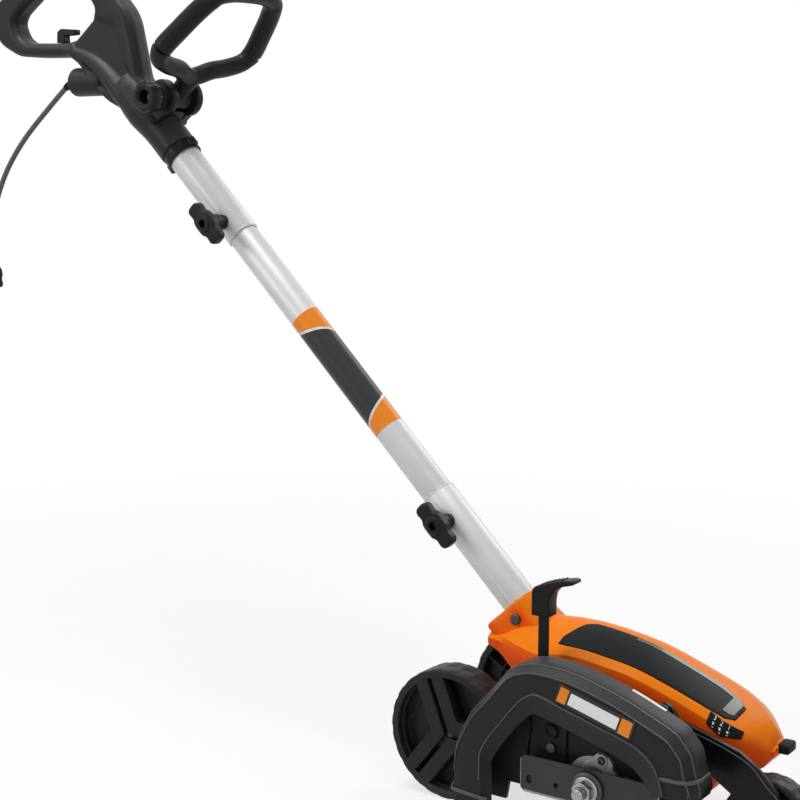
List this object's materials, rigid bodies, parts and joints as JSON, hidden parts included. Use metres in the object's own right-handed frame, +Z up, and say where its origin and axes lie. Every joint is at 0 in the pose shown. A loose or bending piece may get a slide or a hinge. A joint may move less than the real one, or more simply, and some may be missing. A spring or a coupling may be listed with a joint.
{
  "type": "electric lawn edger",
  "caption": "Wheeled electric lawn edger with a vertical blade under an arched guard, a depth lever, a telescopic tube, a rear trigger handle and a tilting front loop handle.",
  "frame": {"origin": "on the ground, below the middle of the edger's bounding box", "axes": "+X forward in the direction of travel, +Y to the operator's left, +Z up; the blade is on the right, at -Y"},
  "size_m": [1.303, 0.2868, 1.04],
  "materials": {
    "orange_shell": "satin moulded ABS, orange",
    "charcoal_plastic": "fine-textured glass-filled nylon, charcoal",
    "black_plastic": "smooth black plastic",
    "soft_black": "soft matt black rubber",
    "tyre_black": "hard moulded wheel plastic, scuffed",
    "plain_white": "plain plate",
    "tube_silver": "satin clear-coated silver",
    "bright_steel": "zinc plated",
    "dark_steel": "black oxide",
    "cast_alloy": "as-cast light alloy",
    "copper": "laminations with enamelled windings",
    "cord_grey": "rubber-sheathed lead"
  },
  "bodies": {
    "chassis": {"lower_shell": "orange_shell", "motor_cover": "orange_shell", "cover_inlay": "black_plastic", "scale_plate": "black_plastic", "nose_bumper": "soft_black", "blade_guard": "charcoal_plastic", "guard_badge_plate": "plain_white", "guard_screw_1": "dark_steel", "guard_screw_2": "dark_steel", "motor_stator": "copper", "motor_bearing_right": "bright_steel", "motor_bearing_left": "bright_steel", "spindle_bearing_inner": "bright_steel", "spindle_bearing_outer": "bright_steel", "gearbox_plate": "cast_alloy", "gearbox_case": "cast_alloy", "rear_axle": "bright_steel", "arm_pivot_shaft": "bright_steel", "lever_pivot_pin": "bright_steel", "lower_tube": "tube_silver", "lower_clamp_bush": "black_plastic", "socket_pin": "dark_steel"},
    "spindle": {"blade_spindle": "bright_steel", "inner_flange": "dark_steel", "cutting_blade": "dark_steel", "outer_flange": "dark_steel", "spindle_nut": "bright_steel"},
    "rotor": {"motor_rotor": "bright_steel", "cooling_fan": "black_plastic"},
    "rear_wheel_right": {"rear_wheel_right": "tyre_black"},
    "rear_wheel_left": {"rear_wheel_left": "tyre_black"},
    "depth_arm": {"front_arm": "black_plastic", "front_axle": "bright_steel"},
    "front_wheel": {"front_wheel": "tyre_black"},
    "depth_lever": {"depth_lever": "black_plastic", "lever_grip": "black_plastic"},
    "link_rod": {"link_rod": "dark_steel"},
    "middle_tube": {"middle_tube": "tube_silver"},
    "upper_tube": {"upper_tube": "tube_silver", "upper_clamp_bush": "black_plastic", "neck_collar": "charcoal_plastic", "handle_shell_right": "charcoal_plastic", "handle_shell_left": "charcoal_plastic", "switch_block": "black_plastic", "cord_hook": "charcoal_plastic", "aux_bracket": "charcoal_plastic", "aux_bolt": "bright_steel", "aux_nut": "bright_steel", "strain_relief": "soft_black", "power_cord": "cord_grey", "power_plug": "soft_black"},
    "lower_knob": {"lower_wing_knob": "charcoal_plastic"},
    "upper_knob": {"upper_wing_knob": "charcoal_plastic"},
    "aux_handle": {"aux_loop": "charcoal_plastic"},
    "aux_knob": {"aux_knob": "charcoal_plastic"},
    "trigger": {"trigger": "orange_shell"},
    "lock_button": {"lock_button": "soft_black"}
  },
  "joints": [
    {"name": "blade_spin", "type": "hinge", "parent": "chassis", "child": "spindle", "pos_m": [0.419, -0.113, 0.07], "axis": [0, -1, 0], "continuous": true},
    {"name": "rotor_spin", "type": "hinge", "parent": "chassis", "child": "rotor", "pos_m": [0.391, 0.027, 0.112], "axis": [0, -1, 0], "continuous": true},
    {"name": "rear_wheel_right_spin", "type": "hinge", "parent": "chassis", "child": "rear_wheel_right", "pos_m": [0.216, -0.069, 0.08], "axis": [0, 1, 0], "continuous": true},
    {"name": "rear_wheel_left_spin", "type": "hinge", "parent": "chassis", "child": "rear_wheel_left", "pos_m": [0.216, 0.123, 0.08], "axis": [0, 1, 0], "continuous": true},
    {"name": "depth_swing", "type": "hinge", "parent": "chassis", "child": "depth_arm", "pos_m": [0.484, 0.027, 0.138], "axis": [0, -1, 0], "range_deg": [-30, 11]},
    {"name": "front_wheel_spin", "type": "hinge", "parent": "depth_arm", "child": "front_wheel", "pos_m": [0.602, -0.036, 0.05], "axis": [0, 1, 0], "continuous": true},
    {"name": "lever_swing", "type": "hinge", "parent": "chassis", "child": "depth_lever", "pos_m": [0.334, -0.067, 0.15], "axis": [0, -1, 0], "range_deg": [-30, 11]},
    {"name": "rod_swing", "type": "hinge", "parent": "depth_lever", "child": "link_rod", "pos_m": [0.334, -0.063, 0.17], "axis": [0, -1, 0], "range_deg": [-11, 30]},
    {"name": "tube_slide", "type": "slide", "parent": "chassis", "child": "middle_tube", "axis": [-0.7071, 0, 0.7071], "range_m": [-0.085, 0.03]},
    {"name": "handle_slide", "type": "slide", "parent": "middle_tube", "child": "upper_tube", "axis": [-0.7071, 0, 0.7071], "range_m": [-0.13, 0.03]},
    {"name": "lower_knob_turn", "type": "hinge", "parent": "chassis", "child": "lower_knob", "pos_m": [0.15587, 0.005, 0.31463], "axis": [0, -1, 0], "range_deg": [0, 360]},
    {"name": "upper_knob_turn", "type": "hinge", "parent": "upper_tube", "child": "upper_knob", "pos_m": [-0.19981, 0.005, 0.67031], "axis": [0, -1, 0], "range_deg": [0, 360]},
    {"name": "loop_tilt", "type": "hinge", "parent": "upper_tube", "child": "aux_handle", "pos_m": [-0.29689, 0.027, 0.83344], "axis": [0, -1, 0], "range_deg": [-60, 50]},
    {"name": "aux_knob_turn", "type": "hinge", "parent": "upper_tube", "child": "aux_knob", "pos_m": [-0.29689, -0.023, 0.83344], "axis": [0, -1, 0], "range_deg": [0, 360]},
    {"name": "trigger_squeeze", "type": "hinge", "parent": "upper_tube", "child": "trigger", "pos_m": [-0.479, 0.027, 1.0125], "axis": [0, 1, 0], "range_deg": [0, 6], "stiffness_Nm_per_rad": 1.5, "springref_deg": -8.59},
    {"name": "lock_press", "type": "slide", "parent": "upper_tube", "child": "lock_button", "axis": [0, 1, 0], "range_m": [0, 0.003], "stiffness_N_per_m": 600, "springref_m": -0.002}
  ],
  "couplings": [
    {"joint": "rotor_spin", "follows": "blade_spin", "ratio": -2},
    {"joint": "lever_swing", "follows": "depth_swing", "ratio": 1},
    {"joint": "rod_swing", "follows": "depth_swing", "ratio": -1}
  ]
}
